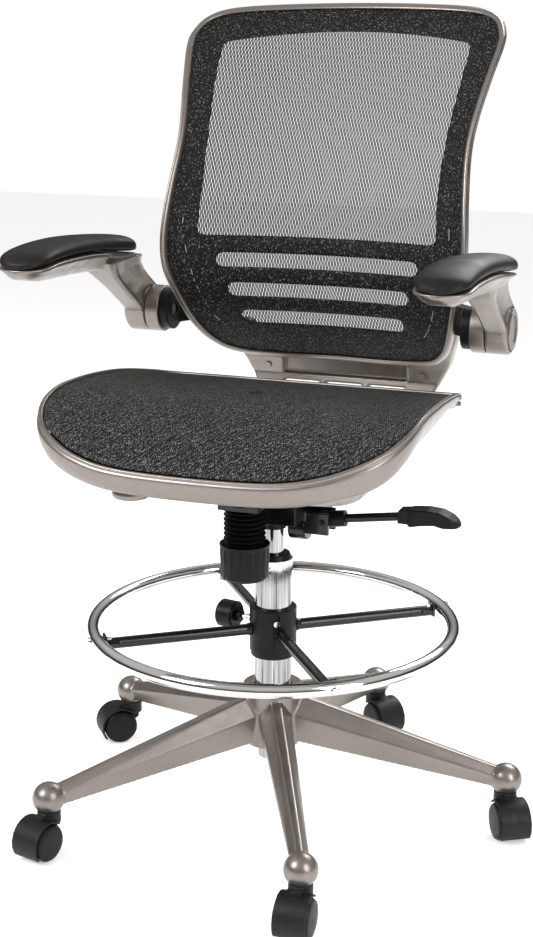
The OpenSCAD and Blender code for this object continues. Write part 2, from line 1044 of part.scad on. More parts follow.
// Put a screw, drawn with its head up, on the front face of the casting.
module at_support_screw(side) {
    translate([side * 120, 303, 567])
        rotate([90 + 10.3, 0, 0])
            children();
}

module support_screws() {
    color(steel)
        for (side = [-1, 1])
            at_support_screw(side) {
                translate([0, 0, gap])
                    cylinder(r = 4.5, h = 2);
                translate([0, 0, -12])
                    cylinder(r = 3, h = 13);
            }
}

// ---- Arms ----

// A cylinder on the arm's pivot, between two distances out from the middle of the chair.
module side_bar(side, r, x0, x1) {
    bar_x(r, min(side * x0, side * x1), max(side * x0, side * x1), arm_pivot_y, arm_pivot_z);
}

module arm_bracket(side) {
    color(black)
        difference() {
            union() {
                translate([0, 0, 645])
                    linear_extrude(40)
                        polygon([
                            [side * 226, 148], [side * 226, 186], [side * 208, 232],
                            [side * 178, 262], [side * bracket_in_x, 262],
                            [side * bracket_in_x, 240], [side * 196, 212], [side * 212, 180],
                            [side * 214, 148]
                        ]);
                side_bar(side, 29, 212, bracket_out_x);
            }
            side_bar(side, arm_shaft_r + fit, 190, 240);
        }
}

module arm_bracket_left() { arm_bracket(1); }
module arm_bracket_right() { arm_bracket(-1); }

module arm_spacers() {
    color(silver)
        for (side = [-1, 1])
            difference() {
                side_bar(side, arm_drum_r, spacer_in_x, spacer_out_x);
                side_bar(side, arm_shaft_r + fit, spacer_in_x - 1, spacer_out_x + 1);
            }
}

// Where the pad rests on the shell under it, from the front to the rear.
pad_seat = [[-204, 766], [-150, 772], [-60, 771], [0, 766], [50, 760], [104, 754]];

// Side profile of the shell under the pad, then of the strut down to the pivot.
function rail_side() = concat(
    [for (p = pad_seat) p - [0, gap]],
    [[104, 748], [30, 737], [0, 741], [-81, 746], [-163, 749], [-189, 753], [-201, 760]]
);
function strut_side() = [
    [12, 741], [155, 652], [165, arm_pivot_z - arm_drum_r], [190, 660], [200, 691], [183, 697],
    [134, 729], [108, 752], [60, 755]
];

module arm(side) {
    color(silver)
        difference() {
            union() {
                intersection() {
                    along_x(side * arm_x, pad_w - 6)
                        polygon(rail_side());
                    pad_plan(side, pad_w - 6);
                }
                along_x(side * 261, 31)
                    polygon(strut_side());
                side_bar(side, arm_drum_r, arm_in_x, arm_out_x);
                side_bar(side, arm_shaft_r, 214, arm_in_x + 1);
            }
            side_bar(side, 27, arm_out_x - cap_t + 1.5, arm_out_x + 1);
        }
}

module arm_left() { arm(1); }
module arm_right() { arm(-1); }

function pad_side() = concat(
    [[-203, 776], [-190, 784], [-150, 792], [-90, 794], [-40, 792], [10, 788], [50, 784],
        [90, 778], [104, 771]],
    [for (i = [len(pad_seat) - 1 : -1 : 0]) pad_seat[i] + [0, gap]]
);

// Outline of the pad from above, rounded at both ends.
module pad_plan(side, width) {
    end_r = width / 2;
    front = pad_seat[0][0] + 1;
    rear = pad_seat[len(pad_seat) - 1][0];
    linear_extrude(900)
        union() {
            translate([side * arm_x, front + end_r])
                circle(r = end_r);
            translate([side * arm_x - end_r, front + end_r])
                square([width, rear - front - 2 * end_r]);
            translate([side * arm_x, rear - end_r])
                circle(r = end_r);
        }
}

module arm_pad(side) {
    color(pad_black)
        intersection() {
            along_x(side * arm_x, pad_w)
                polygon(pad_side());
            pad_plan(side, pad_w);
        }
}

module arm_pad_left() { arm_pad(1); }
module arm_pad_right() { arm_pad(-1); }

module pivot_cap(side) {
    color(silver)
        difference() {
            side_bar(side, 27 - gap, arm_out_x - cap_t + 1.5, arm_out_x + 1.5);
            side_bar(side, 20, arm_out_x, arm_out_x + 3);
        }
}

module pivot_cap_left() { pivot_cap(1); }
module pivot_cap_right() { pivot_cap(-1); }

// ---- Build ----

star_base();
outer_tube();
tube_stop_ring();
guide_bushing();
thrust_bearing();
piston_rod();
rod_clip();
gas_cylinder();
dust_ring();
mechanism_housing();
tension_bolt();
tension_spring();
tension_boot();
valve_pin();
spring_washer();
tension_knob();
lever_socket();
lever_rod();
lever_paddle();
foot_ring();
ring_spokes();
ring_collar();
spoke_bolts();
collar_screw();
clamp_knob();
clamp_screw();
seat_plate();
pivot_pin();
seat_pan();
seat_rim();
seat_mesh();
rim_rivets();
back_support();
back_frame();
back_mesh();
support_screws();
arm_bracket_left();
arm_bracket_right();
arm_spacers();
arm_left();
arm_right();
arm_pad_left();
arm_pad_right();
pivot_cap_left();
pivot_cap_right();
caster_hood(1);  // caster_1_hood
caster_pins(1);  // caster_1_pins
caster_wheels(1);  // caster_1_wheels
caster_hood(2);  // caster_2_hood
caster_pins(2);  // caster_2_pins
caster_wheels(2);  // caster_2_wheels
caster_hood(3);  // caster_3_hood
caster_pins(3);  // caster_3_pins
caster_wheels(3);  // caster_3_wheels
caster_hood(4);  // caster_4_hood
caster_pins(4);  // caster_4_pins
caster_wheels(4);  // caster_4_wheels
caster_hood(5);  // caster_5_hood
caster_pins(5);  // caster_5_pins
caster_wheels(5);  // caster_5_wheels
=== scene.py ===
"""Looks of the drafting chair: finished surfaces, soft goods, materials, lights and camera.

Same frame as the CAD: +Z up, the column on the Z axis, the chair facing -Y, and +X the
sitter's left. Shapes are worked out in millimetres and scaled to metres when a mesh is made.
"""

import math

import bmesh
import bpy
from mathutils import Matrix, Vector


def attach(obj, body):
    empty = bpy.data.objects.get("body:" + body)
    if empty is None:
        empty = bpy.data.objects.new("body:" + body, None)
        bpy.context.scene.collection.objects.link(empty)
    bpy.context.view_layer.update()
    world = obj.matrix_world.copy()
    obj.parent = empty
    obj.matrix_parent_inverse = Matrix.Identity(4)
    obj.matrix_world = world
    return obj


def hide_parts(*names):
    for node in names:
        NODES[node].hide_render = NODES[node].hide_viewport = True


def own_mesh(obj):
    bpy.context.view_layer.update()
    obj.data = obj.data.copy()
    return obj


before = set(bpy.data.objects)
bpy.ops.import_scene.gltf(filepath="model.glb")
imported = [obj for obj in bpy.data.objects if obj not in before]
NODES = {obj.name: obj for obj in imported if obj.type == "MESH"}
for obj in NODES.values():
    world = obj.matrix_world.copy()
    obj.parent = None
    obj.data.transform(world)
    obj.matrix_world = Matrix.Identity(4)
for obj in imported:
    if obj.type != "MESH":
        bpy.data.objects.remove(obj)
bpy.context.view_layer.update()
MM = 0.001


# ---- Curves and meshes ----


def mix(a, b, t):
    """The value at share t of the way from a to b."""
    return a + (b - a) * t


def spread(a, b, step):
    """Even values from a to b, about one step apart."""
    count = max(1, math.ceil((b - a) / step))
    return [mix(a, b, i / count) for i in range(count + 1)]


def curve_point(a, b, c, d, t):
    """A point of the smooth curve from b to c, at share t, with a before and d after."""
    return tuple(
        0.5 * (2 * q + (r - p) * t + (2 * p - 5 * q + 4 * r - s) * t * t + (3 * q - p - 3 * r + s) * t**3)
        for p, q, r, s in zip(a, b, c, d)
    )


def closed_curve(points, steps):
    """Points of a smooth closed curve, with the given steps from each point to the next."""
    n = len(points)
    return [
        curve_point(points[i - 1], points[i], points[(i + 1) % n], points[(i + 2) % n], s / steps)
        for i in range(n)
        for s in range(steps)
    ]


def open_curve(points, steps):
    """Points of a smooth open curve from the first point to the last."""
    last = len(points) - 1
    line = [
        curve_point(points[max(i - 1, 0)], points[i], points[i + 1], points[min(i + 2, last)], s / steps)
        for i in range(last)
        for s in range(steps)
    ]
    return line + [tuple(points[last])]


def both_sides(half):
    """Half an outline, then its mirror image in reverse order, without its points on the middle line."""
    return list(half) + [(-x, v) for x, v in reversed(half) if x > 0]


def along(table, x):
    """Smooth value at x from (x, value) pairs in rising order of x."""
    x = max(table[0][0], min(table[-1][0], x))
    last = len(table) - 1
    for i in range(last):
        if x <= table[i + 1][0]:
            (x0, v0), (x1, v1) = table[i], table[i + 1]
            span = x1 - x0
            t = (x - x0) / span
            before = table[max(i - 1, 0)]
            after = table[min(i + 2, last)]
            rise0 = span * (v1 - before[1]) / (x1 - before[0])
            rise1 = span * (after[1] - v0) / (after[0] - x0)
            return (
                (2 * t**3 - 3 * t**2 + 1) * v0
                + (t**3 - 2 * t**2 + t) * rise0
                + (3 * t**2 - 2 * t**3) * v1
                + (t**3 - t**2) * rise1
            )
    return table[-1][1]


def new_piece(name, points, faces):
    """A smooth-shaded object from points in millimetres and faces."""
    mesh = bpy.data.meshes.new(name)
    mesh.from_pydata([Vector(p) * MM for p in points], [], faces)
    mesh.update()
    for polygon in mesh.polygons:
        polygon.use_smooth = True
    piece = bpy.data.objects.new(name, mesh)
    bpy.context.scene.collection.objects.link(piece)
    return piece


def loft(rings, ring_closed=True, path_closed=False, caps=True):
    """(points, faces) of a skin over rings that have the same number of points."""
    count = len(rings[0])
    points = [tuple(p) for ring in rings for p in ring]
    faces = []
    rows = len(rings) if path_closed else len(rings) - 1
    columns = count if ring_closed else count - 1
    for i in range(rows):
        a = i * count
        b = ((i + 1) % len(rings)) * count
        for j in range(columns):
            k = (j + 1) % count
            faces.append((a + j, a + k, b + k, b + j))
    if caps and ring_closed and not path_closed:
        for ring, first in ((rings[0], 0), (rings[-1], (len(rings) - 1) * count)):
            middle = len(points)
            points.append(tuple(sum(p[i] for p in ring) / count for i in range(3)))
            for j in range(count):
                edge = (first + j, first + (j + 1) % count)
                faces.append((middle, edge[1], edge[0]) if first == 0 else (middle, *edge))
    return points, faces


# A lathe's profile starts and ends this far from its axis, which leaves only a pinhole there.
AXIS_R = 0.2


def lathe(profile, steps):
    """(points, faces) of a profile of (radius, z) turned about the Z axis."""
    turns = [math.tau * i / steps for i in range(steps)]
    rings = [[(r * math.cos(a), r * math.sin(a), z) for a in turns] for r, z in profile]
    return loft(rings, caps=False)


def joined(*skins):
    """Several (points, faces) as one."""
    points, faces = [], []
    for more_points, more_faces in skins:
        start = len(points)
        points += more_points
        faces += [tuple(i + start for i in face) for face in more_faces]
    return points, faces


def moved(skin, matrix):
    points, faces = skin
    return [tuple(matrix @ Vector(p)) for p in points], faces


def mirrored(skin):
    """A skin's mirror image on the other side of the chair."""
    points, faces = skin
    return [(-x, y, z) for x, y, z in points], [tuple(reversed(face)) for face in faces]


def weld(piece, closed=False):
    """Join doubled points and, on a closed piece, turn every face outwards."""
    work = bmesh.new()
    work.from_mesh(piece.data)
    bmesh.ops.remove_doubles(work, verts=work.verts, dist=1e-6)
    if closed:
        bmesh.ops.recalc_face_normals(work, faces=work.faces)
    work.to_mesh(piece.data)
    work.free()
    return piece


def outward(piece):
    return weld(piece, closed=True)


def subdivide(piece):
    """Round a piece by one level of subdivision."""
    modifier = piece.modifiers.new("rounding", "SUBSURF")
    modifier.levels = 1
    modifier.render_levels = 1
    return piece


def thicken(piece, thickness):
    """Give a sheet a thickness in millimetres, half of it to each side."""
    modifier = piece.modifiers.new("thickness", "SOLIDIFY")
    modifier.thickness = thickness * MM
    modifier.offset = 0


def cast(piece, voxel, passes):
    """Join overlapping shells into one cast skin with small fillets."""
    join = piece.modifiers.new("cast", "REMESH")
    join.mode = "VOXEL"
    join.voxel_size = voxel * MM
    join.use_smooth_shade = True
    soften = piece.modifiers.new("fillets", "SMOOTH")
    soften.factor = 0.5
    soften.iterations = passes


def finish_piece(piece, body, material, replaces=()):
    """Give a piece its material, the body it rides on and the nodes it stands for."""
    piece.data.materials.append(material)
    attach(piece, body)
    if replaces:
        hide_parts(*replaces)


# ---- Materials ----


class Paint:
    """A material's node tree, with short ways to add what the finishes share."""

    def __init__(self, name, color, roughness, metallic=0.0, coat=0.0, specular=0.5):
        self.material = bpy.data.materials.new(name)
        self.material.use_nodes = True
        self.tree = self.material.node_tree
        self.shader = self.tree.nodes["Principled BSDF"]
        self.set("Base Color", (*color, 1))
        self.set("Metallic", metallic)
        self.set("Roughness", roughness)
        self.set("Coat Weight", coat)
        self.set("Specular IOR Level", specular)
        self.color = color
        self.place = self.add("ShaderNodeTexCoord").outputs["Object"]
        self.normal = None

    def set(self, socket, value):
        self.shader.inputs[socket].default_value = value

    def add(self, kind, **settings):
        node = self.tree.nodes.new(kind)
        for key, value in settings.items():
            setattr(node, key, value)
        return node

    def link(self, source, target):
        self.tree.links.new(source, target)

    def noise(self, scale, detail, stretch=(1, 1, 1)):
        """A noise value that varies over the object's own space; scale is in cells a metre."""
        mapping = self.add("ShaderNodeMapping")
        mapping.inputs["Scale"].default_value = stretch
        self.link(self.place, mapping.inputs["Vector"])
        texture = self.add("ShaderNodeTexNoise")
        texture.inputs["Scale"].default_value = scale
        texture.inputs["Detail"].default_value = detail
        self.link(mapping.outputs["Vector"], texture.inputs["Vector"])
        return texture.outputs["Fac"]

    def ranged(self, value, from_low, from_high, to_low, to_high):
        """A value stretched from one range onto another, and kept within it."""
        node = self.add("ShaderNodeMapRange")
        node.inputs["From Min"].default_value = from_low
        node.inputs["From Max"].default_value = from_high
        node.inputs["To Min"].default_value = to_low
        node.inputs["To Max"].default_value = to_high
        self.link(value, node.inputs["Value"])
        return node.outputs["Result"]

    def vary_color(self, value, dark, light):
        """Base colour from dark to light times the paint's own, as value goes from 0.3 to 0.7."""
        ramp = self.add("ShaderNodeValToRGB")
        ramp.color_ramp.elements[0].position = 0.3
        ramp.color_ramp.elements[1].position = 0.7
        ramp.color_ramp.elements[0].color = (*[c * dark for c in self.color], 1)
        ramp.color_ramp.elements[1].color = (*[min(c * light, 1) for c in self.color], 1)
        self.link(value, ramp.inputs["Fac"])
        self.link(ramp.outputs["Color"], self.shader.inputs["Base Color"])

    def vary_roughness(self, value, low, high):
        self.link(self.ranged(value, 0.3, 0.7, low, high), self.shader.inputs["Roughness"])

    def bump(self, value, height):
        """Raise the surface by value times a height in metres."""
        node = self.add("ShaderNodeBump")
        node.inputs["Strength"].default_value = 1.0
        node.inputs["Distance"].default_value = height
        self.link(value, node.inputs["Height"])
        if self.normal:
            self.link(self.normal, node.inputs["Normal"])
        self.normal = node.outputs["Normal"]
        self.link(self.normal, self.shader.inputs["Normal"])

    def math(self, operation, a, b=None, c=None):
        """The result of one operation on numbers or on other nodes' values."""
        node = self.add("ShaderNodeMath", operation=operation)
        for socket, value in zip(node.inputs, (a, b, c)):
            if value is None:
                continue
            if isinstance(value, (int, float)):
                socket.default_value = value
            else:
                self.link(value, socket)
        return node.outputs[0]

    def axes(self):
        """The object's own x, y and z, in metres."""
        split = self.add("ShaderNodeSeparateXYZ")
        self.link(self.place, split.inputs["Vector"])
        return split.outputs["X"], split.outputs["Y"], split.outputs["Z"]


def silver_paint():
    paint = Paint("silver", (0.27, 0.24, 0.218), metallic=0.85, roughness=0.34, coat=0.1)
    paint.vary_color(paint.noise(1500, 2), 0.75, 1.25)
    paint.vary_roughness(paint.noise(60, 4), 0.28, 0.42)
    paint.bump(paint.noise(1100, 2), 0.00006)
    return paint.material


def chrome_plate():
    paint = Paint("chrome", (0.74, 0.73, 0.72), metallic=1.0, roughness=0.07)
    paint.vary_roughness(paint.noise(45, 4), 0.04, 0.12)
    paint.bump(paint.noise(12, 2), 0.0006)
    return paint.material


def chrome_with_painted_streaks():
    """Chromed tube with fine drawn lines along its length in the bump, and painted reflection streaks
    along it in the colour.
    """
    paint = Paint("chrome_with_painted_streaks", (0.46, 0.46, 0.47), metallic=1.0, roughness=0.1)
    drawn_lines_and_reflection_streaks = paint.noise(300, 2, stretch=(1, 1, 0.02))
    # Painted reflection: light and dark streaks along the tube's length in its base colour.
    paint.vary_color(drawn_lines_and_reflection_streaks, 0.4, 1.3)
    paint.vary_roughness(paint.noise(120, 3, stretch=(1, 1, 0.05)), 0.06, 0.2)
    paint.bump(drawn_lines_and_reflection_streaks, 0.00005)
    return paint.material


def plain_steel():
    paint = Paint("steel", (0.6, 0.6, 0.62), metallic=1.0, roughness=0.3)
    paint.vary_roughness(paint.noise(400, 3), 0.22, 0.42)
    paint.bump(paint.noise(900, 2), 0.00003)
    return paint.material


def black_enamel():
    paint = Paint("black_enamel", (0.006, 0.006, 0.0065), roughness=0.22, coat=0.3, specular=0.3)
    paint.vary_roughness(paint.noise(70, 3), 0.14, 0.3)
    paint.bump(paint.noise(220, 3), 0.00008)
    return paint.material


def black_plastic():
    paint = Paint("black_plastic", (0.006, 0.006, 0.0062), roughness=0.42, specular=0.2)
    paint.vary_color(paint.noise(300, 3), 0.7, 1.3)
    paint.vary_roughness(paint.noise(150, 3), 0.34, 0.5)
    paint.bump(paint.noise(1400, 2), 0.00005)
    return paint.material


def grained_plastic():
    """Black plastic with a fine moulded grain, as on the caster hoods."""
    paint = Paint("grained_plastic", (0.007, 0.007, 0.0073), roughness=0.48, specular=0.3)
    paint.vary_color(paint.noise(500, 3), 0.6, 1.5)
    paint.vary_roughness(paint.noise(200, 3), 0.4, 0.6)
    paint.bump(paint.noise(650, 3), 0.00025)
    return paint.material


def boot_rubber():
    paint = Paint("boot_rubber", (0.004, 0.004, 0.004), roughness=0.36, specular=0.25)
    paint.vary_roughness(paint.noise(180, 3), 0.25, 0.42)
    paint.bump(paint.noise(500, 2), 0.00004)
    return paint.material


def pad_skin():
    paint = Paint("pad_skin", (0.008, 0.007, 0.0065), roughness=0.5, specular=0.25)
    paint.vary_color(paint.noise(140, 4), 0.7, 1.4)
    paint.vary_roughness(paint.noise(25, 4), 0.42, 0.6)
    paint.bump(paint.noise(420, 4), 0.00012)
    paint.bump(paint.noise(30, 3), 0.0006)
    return paint.material


def weave(paint, pitch, wave, swing, coverage):
    """1 on the strands of a knitted mesh and 0 in its gaps: wavy strands, each the mirror of the next.

    pitch is the spacing of the strands and wave the length of one wave along them, in metres.
    swing and coverage are shares of the pitch: how far a strand waves, and how wide it is.
    """
    across, _, up = paint.axes()
    strand = paint.math("DIVIDE", across, pitch)
    index = paint.math("FLOOR", strand)
    odd = paint.math("MULTIPLY", paint.math("FLOORED_MODULO", index, 2.0), math.pi)
    turn = paint.math("MULTIPLY", up, math.tau / wave)
    aside = paint.math("MULTIPLY", paint.math("SINE", paint.math("ADD", turn, odd)), swing)
    inside = paint.math("FRACT", strand)
    offset = paint.math("ABSOLUTE", paint.math("SUBTRACT", paint.math("SUBTRACT", inside, 0.5), aside))
    return paint.math("LESS_THAN", offset, coverage / 2)


def see_through(paint, strands):
    """Let the gaps between the strands show what is behind."""
    clear = paint.add("ShaderNodeBsdfTransparent")
    blend = paint.add("ShaderNodeMixShader")
    paint.link(strands, blend.inputs["Fac"])
    paint.link(clear.outputs["BSDF"], blend.inputs[1])
    paint.link(paint.shader.outputs["BSDF"], blend.inputs[2])
    paint.link(blend.outputs["Shader"], paint.tree.nodes["Material Output"].inputs["Surface"])


def sheer_mesh():
    """The single layer in the back's window and slots."""
    paint = Paint("sheer_mesh", (0.012, 0.0115, 0.011), roughness=0.55, specular=0.3)
    see_through(paint, weave(paint, pitch=0.0023, wave=0.012, swing=0.12, coverage=0.58))
    paint.bump(paint.noise(900, 2), 0.0002)
    return paint.material


def flecked(paint, flecks, low, high, pale):
    """Blend from the paint's own colour to a pale grey as a value goes from low to high."""
    share = paint.ranged(flecks, low, high, 0, 1)
    blend = paint.add("ShaderNodeMix", data_type="RGBA")
    paint.link(share, blend.inputs["Factor"])
    blend.inputs["A"].default_value = (*paint.color, 1)
    blend.inputs["B"].default_value = (pale, pale, pale, 1)
    paint.link(blend.outputs["Result"], paint.shader.inputs["Base Color"])


def dense_mesh():
    """The doubled border: near black, with sparse pale flecks where the layers line up."""
    paint = Paint("dense_mesh", (0.006, 0.0058, 0.0056), roughness=0.7, specular=0.2)
    flecks = paint.noise(520, 2, stretch=(1, 1, 0.7))
    flecked(paint, flecks, 0.57, 0.72, 0.2)
    paint.bump(flecks, 0.0005)
    return paint.material


def seat_weave():
    """The seat's mesh: a close knit of dashes along its ribs, with painted glints: pale flecks where the
    dashes would catch the light unevenly.
    """
    rib = 0.0034
    dash = 0.007
    paint = Paint("seat_weave", (0.006, 0.0056, 0.0054), roughness=0.6, specular=0.2)
    across, along_y, _ = paint.axes()
    wander = paint.math("MULTIPLY", paint.noise(90, 2), 0.012)
    ribs = paint.math("SINE", paint.math("MULTIPLY", paint.math("ADD", across, wander), math.tau / rib))
    offset = paint.math("MULTIPLY", across, math.tau / (2 * rib))
    rows = paint.math("SINE", paint.math("MULTIPLY_ADD", along_y, math.tau / dash, offset))
    knit = paint.math("MULTIPLY_ADD", paint.math("MULTIPLY", ribs, rows), 0.5, 0.5)
    glint_scatter = paint.noise(420, 3)
    grain = paint.math("ADD", paint.math("MULTIPLY", knit, 0.3), paint.math("MULTIPLY", glint_scatter, 0.7))
    # Painted glints: pale grey where the knit and the scatter noise are high, where the dashes would
    # catch the light; the same value gives the knit its bump.
    flecked(paint, grain, 0.52, 0.72, 0.24)
    paint.bump(grain, 0.0008)
    return paint.material


def seam_thread():
    """Pale stitches along a seam, one dash after another."""
    paint = Paint("seam_thread", (0.01, 0.01, 0.01), roughness=0.6, specular=0.2)
    flecked(paint, paint.noise(160, 1, stretch=(1, 1, 0.8)), 0.5, 0.56, 0.34)
    paint.bump(paint.noise(500, 2), 0.0002)
    return paint.material


SILVER = silver_paint()
CHROME = chrome_plate()
PAINTED_STREAK_CHROME = chrome_with_painted_streaks()
STEEL = plain_steel()
ENAMEL = black_enamel()
PLASTIC = black_plastic()
GRAINED = grained_plastic()
BOOT = boot_rubber()
PAD = pad_skin()
SHEER = sheer_mesh()
DENSE = dense_mesh()
SEAT_WEAVE = seat_weave()
THREAD = seam_thread()


# ---- Seat ----

SEAT_HALF_W = 244
SEAT_FRONT = 296
SEAT_REAR = 145
SEAT_TOP = 615
CREST_Y = -130
FRONT_DROP = 64
REAR_DROP = 34
RIM_W = 7
RIM_DEPTHS = [(-SEAT_FRONT, 31), (-231, 42), (CREST_Y, 27), (0, 22), (SEAT_REAR, 20)]


def rim_top(y):
    """Height of the rim's upper edge, which falls away before and behind its crest."""
    if y < CREST_Y:
        return SEAT_TOP - FRONT_DROP * ((CREST_Y - y) / (SEAT_FRONT + CREST_Y)) ** 2
    return SEAT_TOP - REAR_DROP * ((y - CREST_Y) / (SEAT_REAR - CREST_Y)) ** 2


def rim_depth(y):
    return along(RIM_DEPTHS, y)


def seat_outline(inset, steps):
    """The seat's outline from above: half width w, with f in front and r behind the column."""
    w, f, r = SEAT_HALF_W - inset, SEAT_FRONT - inset, SEAT_REAR - inset
    half = [
        (0, -f), (w * 0.41, -f + 3), (w * 0.64, -f + 15), (w * 0.8, -f + 34), (w * 0.91, -f + 57),
        (w * 0.975, -f + 88), (w, -f + 126), (w, -f + 200), (w * 0.98, -f + 290),
        (w * 0.94, r - 60), (w * 0.9, r - 12), (w * 0.86, r - 2), (w * 0.6, r),
    ]
    return closed_curve(both_sides(half), steps)


# The rim's cross-section, as (share of the width from outside in, share of the depth down):
# a narrow lip, a groove under it, then the band drawn in towards its lower edge.
RIM_SECTION = [
    (0.98, 0.16), (0.92, 0.04), (0.7, 0.0), (0.45, 0.0), (0.22, 0.03), (0.16, 0.08), (0.24, 0.12),
    (0.26, 0.15), (0.1, 0.18), (0.0, 0.24), (0.06, 0.4), (0.3, 0.62), (0.7, 0.83), (1.15, 0.97),
    (1.5, 1.0), (1.65, 0.92), (1.45, 0.7), (1.1, 0.45),
]


def seat_rim():
    steps = 8
    rings = []
    for (x0, y0), (x1, y1) in zip(seat_outline(0, steps), seat_outline(RIM_W, steps)):
        ring = []
        for share, down in RIM_SECTION:
            x, y = mix(x0, x1, share), mix(y0, y1, share)
            ring.append((x, y, rim_top(y0) - down * rim_depth(y0)))
        rings.append(ring)
    piece = outward(new_piece("seat_rim_cast", *loft(rings, path_closed=True)))
    finish_piece(subdivide(piece), "seat", SILVER, ["seat_rim"])


SHEET_MIDDLE_Y = -70
SHEET_BELOW_RIM = 4.5
SHEET_SAG = 4.2
SHEET_PEAK = 1.5
SHEET_T = 1.6
SHEET_GAP = 0.2
SHEET_RINGS = 34


def sheet_height(y, share):
    """Height of the seat's cloth, from its middle at share 0 to the rim at share 1."""
    return rim_top(y) - SHEET_BELOW_RIM - SHEET_SAG * (1 - share**2) + SHEET_PEAK * (1 - share)


def seat_sheet():
    """The woven seat: rings from near its middle out to the rim, and a fan to close the middle."""
    edge = seat_outline(RIM_W + SHEET_GAP, 4)
    count = len(edge)
    rings = []
    for i in range(1, SHEET_RINGS + 1):
        share = i / SHEET_RINGS
        flat = [(x * share, mix(SHEET_MIDDLE_Y, y, share)) for x, y in edge]
        rings.append([(x, y, sheet_height(y, share)) for x, y in flat])
    points, faces = loft(rings, caps=False)
    centre = len(points)
    points.append((0, SHEET_MIDDLE_Y, sheet_height(SHEET_MIDDLE_Y, 0)))
    faces += [(centre, j, (j + 1) % count) for j in range(count)]
    piece = new_piece("seat_mesh_woven", points, faces)
    thicken(piece, SHEET_T)
    finish_piece(piece, "seat", SEAT_WEAVE, ["seat_mesh"])


# ---- Back ----

LUMBAR_Z = 739
LUMBAR_Y = 180
WRAP_R = 520
UPPER_BEND = 0.00141
LOWER_BEND = 0.0042
BACK_TOP = 1092
BACK_BOTTOM = 587
WRAP_AXIS_Y = LUMBAR_Y - WRAP_R


def back_middle_y(z):
    """Where the back's middle line is: furthest forward at the lumbar, and bent back from there."""
    bend = UPPER_BEND if z > LUMBAR_Z else LOWER_BEND
    return LUMBAR_Y + bend * (z - LUMBAR_Z) ** 2


def back_point(x, z, behind):
    """A point of the back's curved surface, moved to the rear along its wrap."""
    radius = back_middle_y(z) - WRAP_AXIS_Y + behind
    return x, WRAP_AXIS_Y + math.sqrt(radius**2 - x**2), z


BACK_HALF = [
    (0, BACK_TOP), (110, BACK_TOP - 2), (180, BACK_TOP - 7), (212, BACK_TOP - 18), (226, BACK_TOP - 37),
    (229, BACK_TOP - 58), (221, 989), (212, 934), (210, 894), (214, 839), (219, 774),
    (216, 731), (204, 689), (191, 644), (174, 613), (145, 594), (80, BACK_BOTTOM), (0, BACK_BOTTOM),
]


def inward(outline, i):
    """Unit vector into the outline at point i, square to its edge."""
    (x0, z0), (x1, z1) = outline[i - 1], outline[(i + 1) % len(outline)]
    length = math.hypot(x1 - x0, z1 - z0)
    return (z1 - z0) / length, -(x1 - x0) / length


# The frame's section, as (mm in from the edge, mm to the rear of the mesh).
FRAME_SECTION = [
    (1.6, -7.2), (0.3, -5.0), (0.0, -2.0), (0.5, 1.0), (0.2, 6.0), (0.6, 12.0), (2.2, 15.4),
    (4.6, 16.0), (7.0, 15.0), (8.2, 12.0), (8.6, 6.0), (8.6, 1.5), (8.8, -3.0), (7.8, -6.2),
    (5.8, -7.6), (3.6, -8.0),
]


def back_frame():
    outline = closed_curve(both_sides(BACK_HALF), 6)
    rings = []
    for i, (x, z) in enumerate(outline):
        nx, nz = inward(outline, i)
        rings.append([back_point(x + nx * into, z + nz * into, behind) for into, behind in FRAME_SECTION])
    piece = outward(new_piece("back_frame_cast", *loft(rings, path_closed=True)))
    finish_piece(subdivide(piece), "seat", SILVER, ["back_frame"])


def half_width_at(z):
    """Half width of the back's outline at a height."""
    side = sorted((height, x) for x, height in BACK_HALF[1:-1])
    return along(side, z)


class Opening:
    """A space in the dense border, between two heights, with rounded corners."""

    def __init__(self, bottom, top, half_w, corner):
        self.bottom = bottom
        self.top = top
        self.half_w = half_w
        self.corner = corner

    def edge(self, z):
        """Distance from the middle to the opening's edge at a height."""
        near_end = max(0.0, self.corner - min(z - self.bottom, self.top - z))
        return self.half_w(z) - self.corner + math.sqrt(max(self.corner**2 - near_end**2, 0.0))


# The window's side, as (height, distance from the middle).
WINDOW_SIDE = [(776, 173), (823, 170), (877, 170), (931, 173), (985, 178), (1039, 182)]
WINDOW_CORNER = 12
ARCH_RISE = 13
SLOT_H = 20


def slot_at(middle_z, half_w):
    """A slot with round ends."""
    return Opening(middle_z - SLOT_H / 2, middle_z + SLOT_H / 2, lambda z: half_w, SLOT_H / 2)


OPENINGS = [
    slot_at(658, 120),
    slot_at(699.5, 132),
    slot_at(742, 146),
    Opening(WINDOW_SIDE[0][0], WINDOW_SIDE[-1][0], lambda z: along(WINDOW_SIDE, z), WINDOW_CORNER),
]
# The two cloths: their inset from the frame's outline, their thicknesses, how far the border
# is ahead of the sheer cloth, and its least width beside the window.
MESH_INSET = 5
SHEER_T = 0.6
BORDER_T = 0.8
BORDER_AHEAD = 0.9
LEAST_SIDE = 6
# Their grids: columns across each part, and the height of a row.
SHEER_COLUMNS = 60
MIDDLE_COLUMNS = 24
SIDE_COLUMNS = 14
ROW_H = 6
ROW_H_ABOVE = 4
ROW_H_BESIDE = 1.5
MESH_LOW = BACK_BOTTOM + MESH_INSET
MESH_HIGH = BACK_TOP - MESH_INSET


def strip(rows, columns, behind):
    """(points, faces) of the back's surface over rows of (height, from x, to x)."""
    rings = []
    for z, x0, x1 in rows:
        rings.append([back_point(mix(x0, x1, j / columns), z, behind) for j in range(columns + 1)])
    return loft(rings, ring_closed=False, caps=False)


def mesh_edge(z):
    """Distance from the middle to the edge of the back's cloth at a height."""
    return half_width_at(z) - MESH_INSET


def back_sheer():
    """The single cloth over the whole back."""
    rows = [(z, -mesh_edge(z), mesh_edge(z)) for z in spread(MESH_LOW, MESH_HIGH, ROW_H)]
    piece = new_piece("back_mesh_sheer", *strip(rows, SHEER_COLUMNS, 0))
    thicken(piece, SHEER_T)
    finish_piece(piece, "seat", SHEER, ["back_mesh"])


